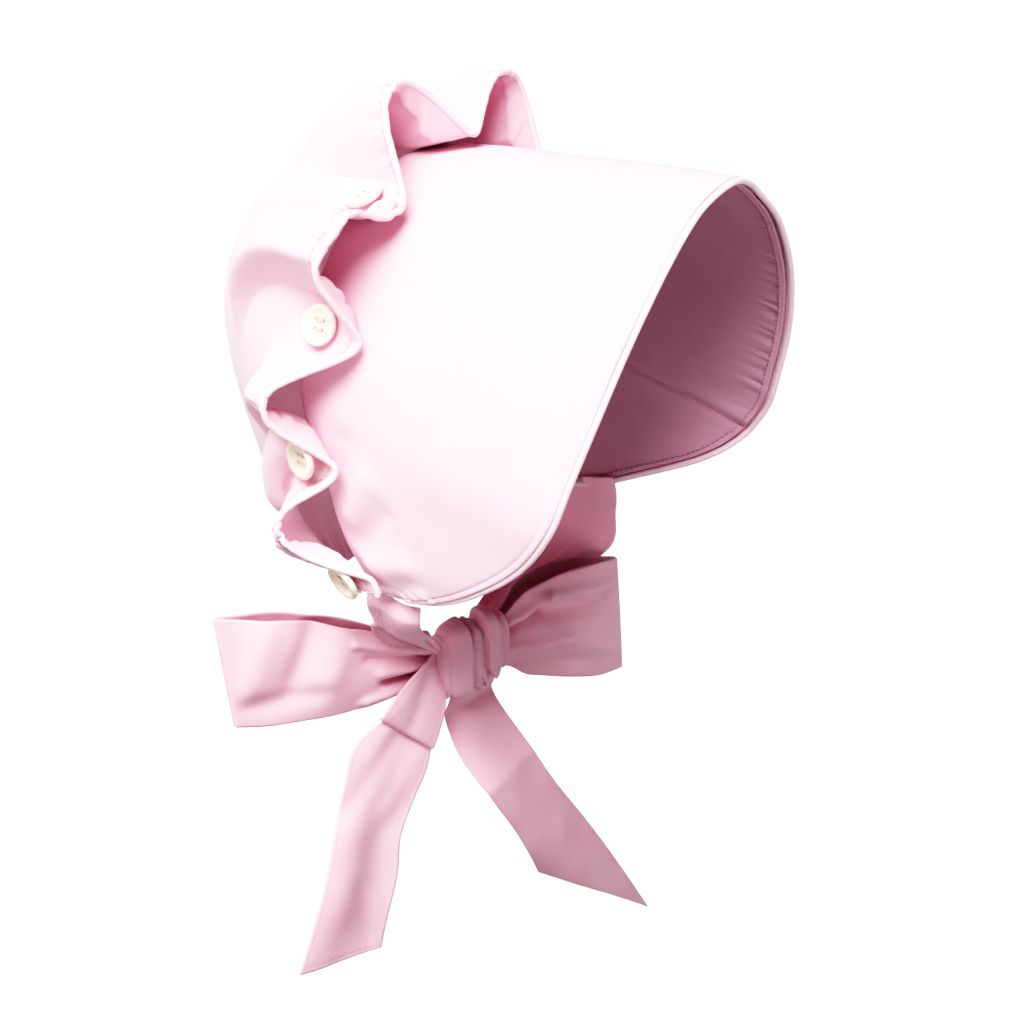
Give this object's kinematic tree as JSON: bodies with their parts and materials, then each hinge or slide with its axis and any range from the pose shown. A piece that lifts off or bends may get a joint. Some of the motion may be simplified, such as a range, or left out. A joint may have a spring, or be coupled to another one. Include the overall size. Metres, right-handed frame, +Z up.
{
  "type": "baby bonnet",
  "caption": "Baby's cotton sun bonnet with a stiff piped brim, a soft ruffled crown buttoned over it, and wide ties in a bow under the chin.",
  "frame": {"origin": "the inside of the top of the bonnet, where it sits on the head", "axes": "+Z up, the face looks along -Y, and the wearer's left side is +X"},
  "size_m": [0.2002, 0.2033, 0.3795],
  "materials": {
    "pink_cotton": "matt",
    "pink_cotton_lining": "matt",
    "pink_cotton_ribbon": "matt",
    "ivory_button": "gloss"
  },
  "bodies": {
    "root": {"brim": "pink_cotton", "brim_lining": "pink_cotton_lining", "brim_piping": "pink_cotton", "crown": "pink_cotton", "crown_piping": "pink_cotton", "button_1": "ivory_button", "button_2": "ivory_button", "button_3": "ivory_button", "button_4": "ivory_button", "button_5": "ivory_button", "button_6": "ivory_button", "button_7": "ivory_button", "button_8": "ivory_button", "button_9": "ivory_button", "tie_right": "pink_cotton_ribbon", "tie_left": "pink_cotton_ribbon", "bow_knot": "pink_cotton_ribbon", "bow_loop_right": "pink_cotton_ribbon", "bow_loop_left": "pink_cotton_ribbon", "bow_tail_right": "pink_cotton_ribbon", "bow_tail_left": "pink_cotton_ribbon"}
  },
  "joints": []
}
